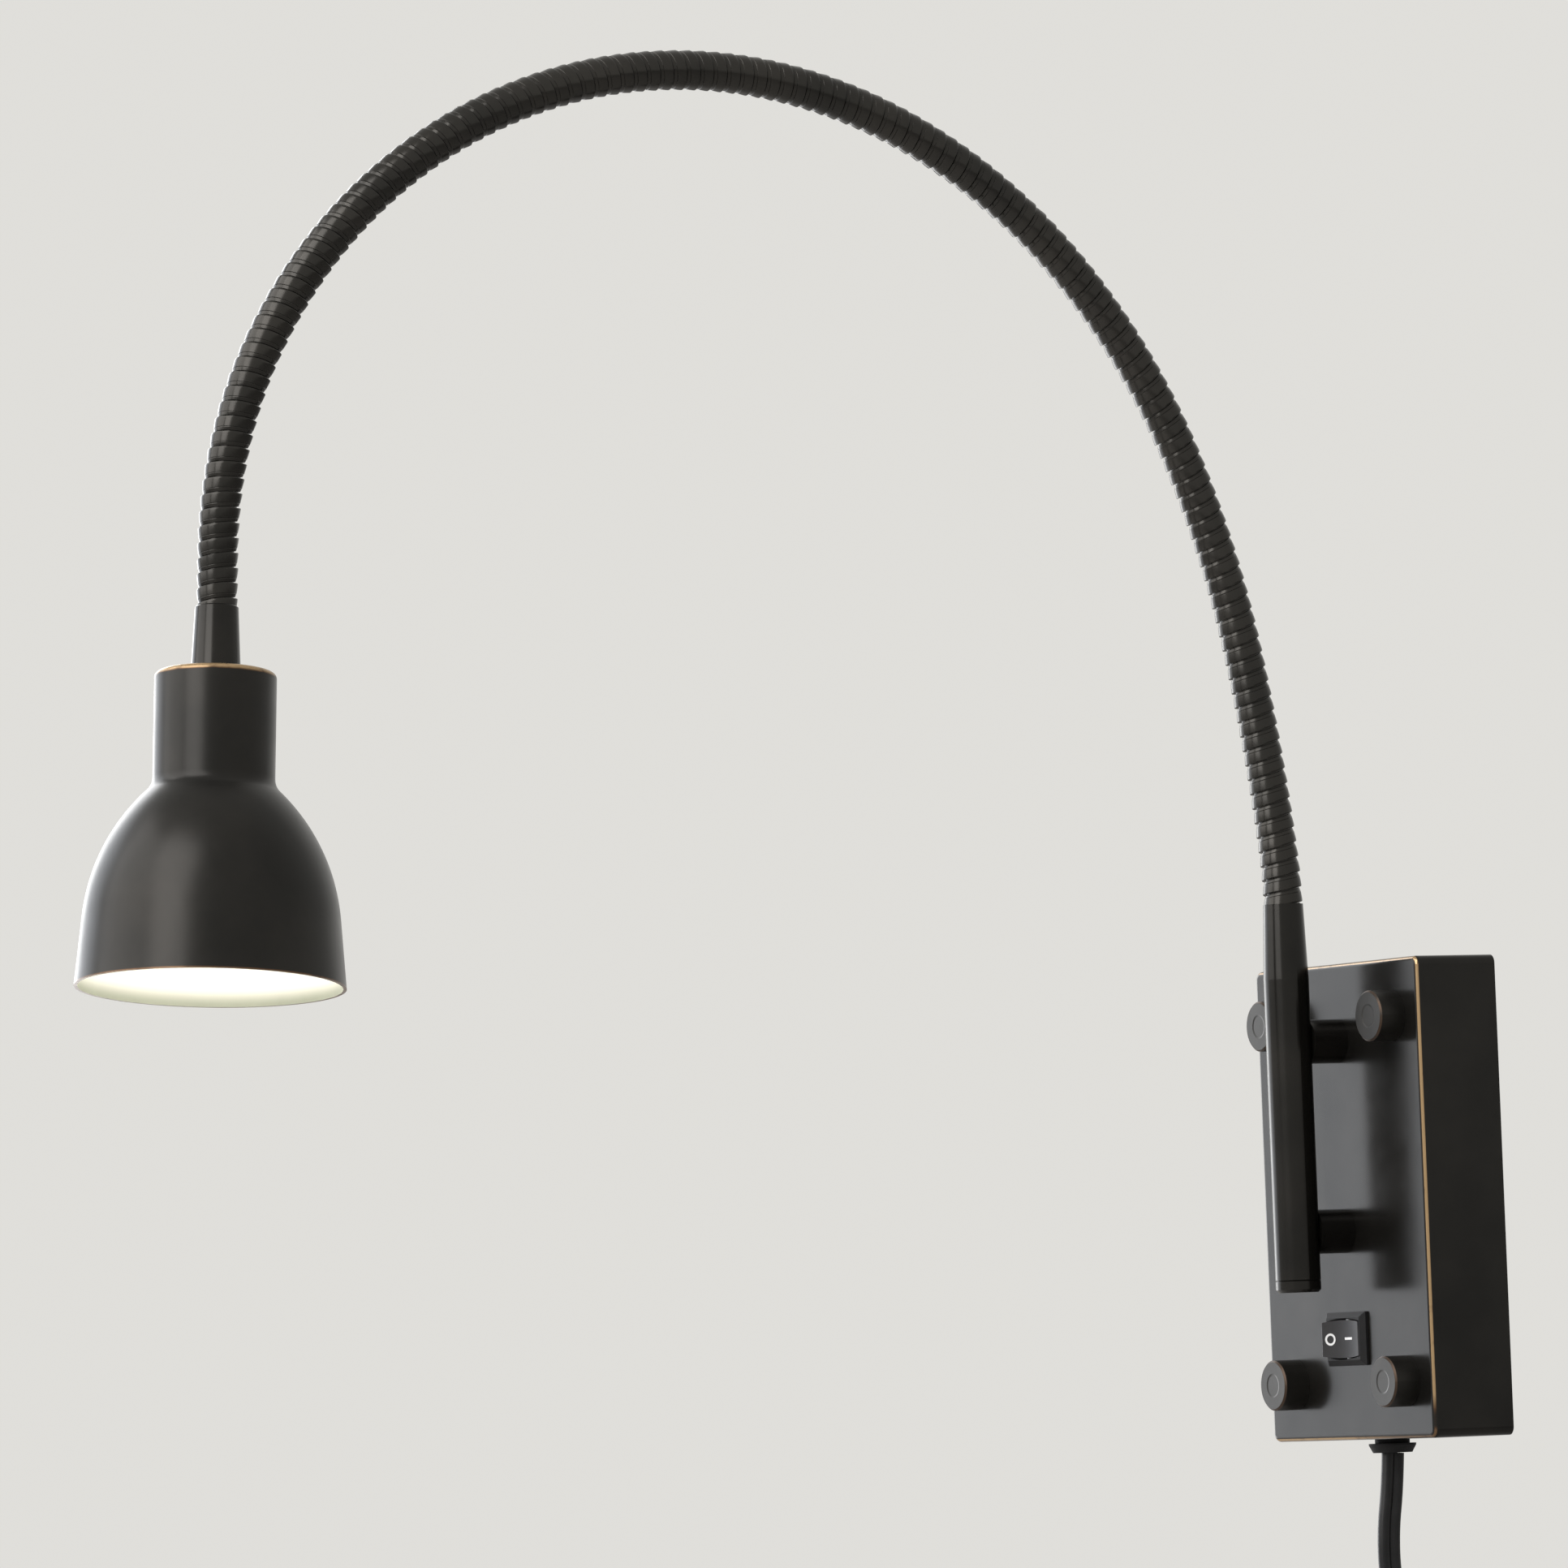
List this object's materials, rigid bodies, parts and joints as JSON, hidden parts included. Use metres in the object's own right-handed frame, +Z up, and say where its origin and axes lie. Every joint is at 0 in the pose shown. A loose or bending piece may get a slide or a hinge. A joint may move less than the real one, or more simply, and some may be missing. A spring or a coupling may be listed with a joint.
{
  "type": "gooseneck wall sconce",
  "caption": "Wall lamp with a box base, rocker switch, round stem, wound flexible gooseneck and bell shade, with a flat cord that hangs from the base.",
  "frame": {"origin": "centre of the base's back face, on the wall, between the two wall slots", "axes": "+X to the right along the wall seen from the room, +Y into the wall, +Z up; the neck and the shade stand out towards -Y"},
  "size_m": [0.1199, 0.4105, 0.5474],
  "materials": {
    "bronze_cover": "satin oil-rubbed bronze, worn to copper on its edges",
    "bronze_stem": "satin oil-rubbed bronze",
    "bronze_neck": "satin oil-rubbed bronze",
    "bronze_shade": "satin oil-rubbed bronze, pale inside",
    "cap_nut_bronze": "satin oil-rubbed bronze with brass showing at the bevel",
    "zinc_steel": "zinc plated",
    "black_plastic": "fine matte",
    "rocker_plastic": "semi gloss",
    "cord_black": "satin flexible vinyl",
    "plug_black": "satin",
    "brass_contact": "plain",
    "core_black": "vinyl",
    "core_white": "vinyl",
    "block_white": "plain",
    "ceramic_white": "unglazed ceramic",
    "lamp_shell": "gloss",
    "lens_frosted": "frosted, lit"
  },
  "bodies": {
    "base": {"cover_box": "bronze_cover", "mounting_plate": "zinc_steel", "cover_studs": "zinc_steel", "stud_lock_nuts": "zinc_steel", "cap_nuts": "cap_nut_bronze", "switch_housing": "black_plastic", "switch_pivot_pin": "zinc_steel", "switch_terminals": "brass_contact", "stem_tube": "bronze_stem", "stem_end_cap": "bronze_stem", "upper_spacer": "bronze_stem", "lower_spacer": "bronze_stem", "spacer_screw": "zinc_steel", "wire_nipple": "zinc_steel", "nipple_nut": "zinc_steel", "neck_lock_nut": "zinc_steel", "neck_root": "bronze_neck", "cord_bushing": "black_plastic", "bushing_nut": "zinc_steel", "supply_cores": "core_black", "lamp_cores": "core_black", "terminal_block": "block_white", "clamp_screws": "zinc_steel", "lamp_lead": "core_white", "cord_lead": "cord_black", "cord_coil": "cord_black", "cord_tie": "black_plastic", "cord_tail": "cord_black", "plug_body": "plug_black", "plug_blades": "brass_contact"},
    "rocker": {"switch_rocker": "rocker_plastic"},
    "neck_1": {"neck_link_1": "bronze_neck"},
    "neck_2": {"neck_link_2": "bronze_neck"},
    "neck_3": {"neck_link_3": "bronze_neck"},
    "neck_4": {"neck_link_4": "bronze_neck"},
    "neck_5": {"neck_link_5": "bronze_neck"},
    "neck_6": {"neck_link_6": "bronze_neck"},
    "neck_7": {"neck_link_7": "bronze_neck"},
    "neck_8": {"neck_link_8": "bronze_neck"},
    "neck_9": {"neck_link_9": "bronze_neck"},
    "head": {"neck_tip": "bronze_neck", "shade_sleeve": "bronze_shade", "shade": "bronze_shade", "sleeve_nut": "zinc_steel", "holder_bridge": "zinc_steel", "lamp_holder": "ceramic_white", "lamp_body": "lamp_shell", "lamp_lens": "lens_frosted", "lamp_pins": "brass_contact", "holder_wires": "core_white"}
  },
  "joints": [
    {"name": "rocker_tilt", "type": "hinge", "parent": "base", "child": "rocker", "pos_m": [0, -0.025, -0.0384], "axis": [0, 0, -1], "range_deg": [0, 24]},
    {"name": "neck_bend_1", "type": "hinge", "parent": "base", "child": "neck_1", "pos_m": [0, -0.04181, 0.09701], "axis": [1, 0, 0], "range_deg": [-12, 12]},
    {"name": "neck_bend_2", "type": "hinge", "parent": "neck_1", "child": "neck_2", "pos_m": [0, -0.05094, 0.15496], "axis": [1, 0, 0], "range_deg": [-12, 12]},
    {"name": "neck_sway_3", "type": "hinge", "parent": "neck_2", "child": "neck_3", "pos_m": [0, -0.06889, 0.21071], "axis": [0, 0.9143, 0.4051], "range_deg": [-18, 18]},
    {"name": "neck_bend_4", "type": "hinge", "parent": "neck_3", "child": "neck_4", "pos_m": [0, -0.10051, 0.25986], "axis": [1, 0, 0], "range_deg": [-12, 12]},
    {"name": "neck_bend_5", "type": "hinge", "parent": "neck_4", "child": "neck_5", "pos_m": [0, -0.14638, 0.29596], "axis": [1, 0, 0], "range_deg": [-12, 12]},
    {"name": "neck_sway_6", "type": "hinge", "parent": "neck_5", "child": "neck_6", "pos_m": [0, -0.20214, 0.31306], "axis": [0, 0.1063, 0.9943], "range_deg": [-18, 18]},
    {"name": "neck_bend_7", "type": "hinge", "parent": "neck_6", "child": "neck_7", "pos_m": [0, -0.2602, 0.30773], "axis": [1, 0, 0], "range_deg": [-12, 12]},
    {"name": "neck_bend_8", "type": "hinge", "parent": "neck_7", "child": "neck_8", "pos_m": [0, -0.31185, 0.28066], "axis": [1, 0, 0], "range_deg": [-12, 12]},
    {"name": "neck_sway_9", "type": "hinge", "parent": "neck_8", "child": "neck_9", "pos_m": [0, -0.34912, 0.23585], "axis": [0, -0.8813, 0.4726], "range_deg": [-18, 18]},
    {"name": "neck_bend_10", "type": "hinge", "parent": "neck_9", "child": "head", "pos_m": [0, -0.36427, 0.17969], "axis": [1, 0, 0], "range_deg": [-15, 15]}
  ]
}
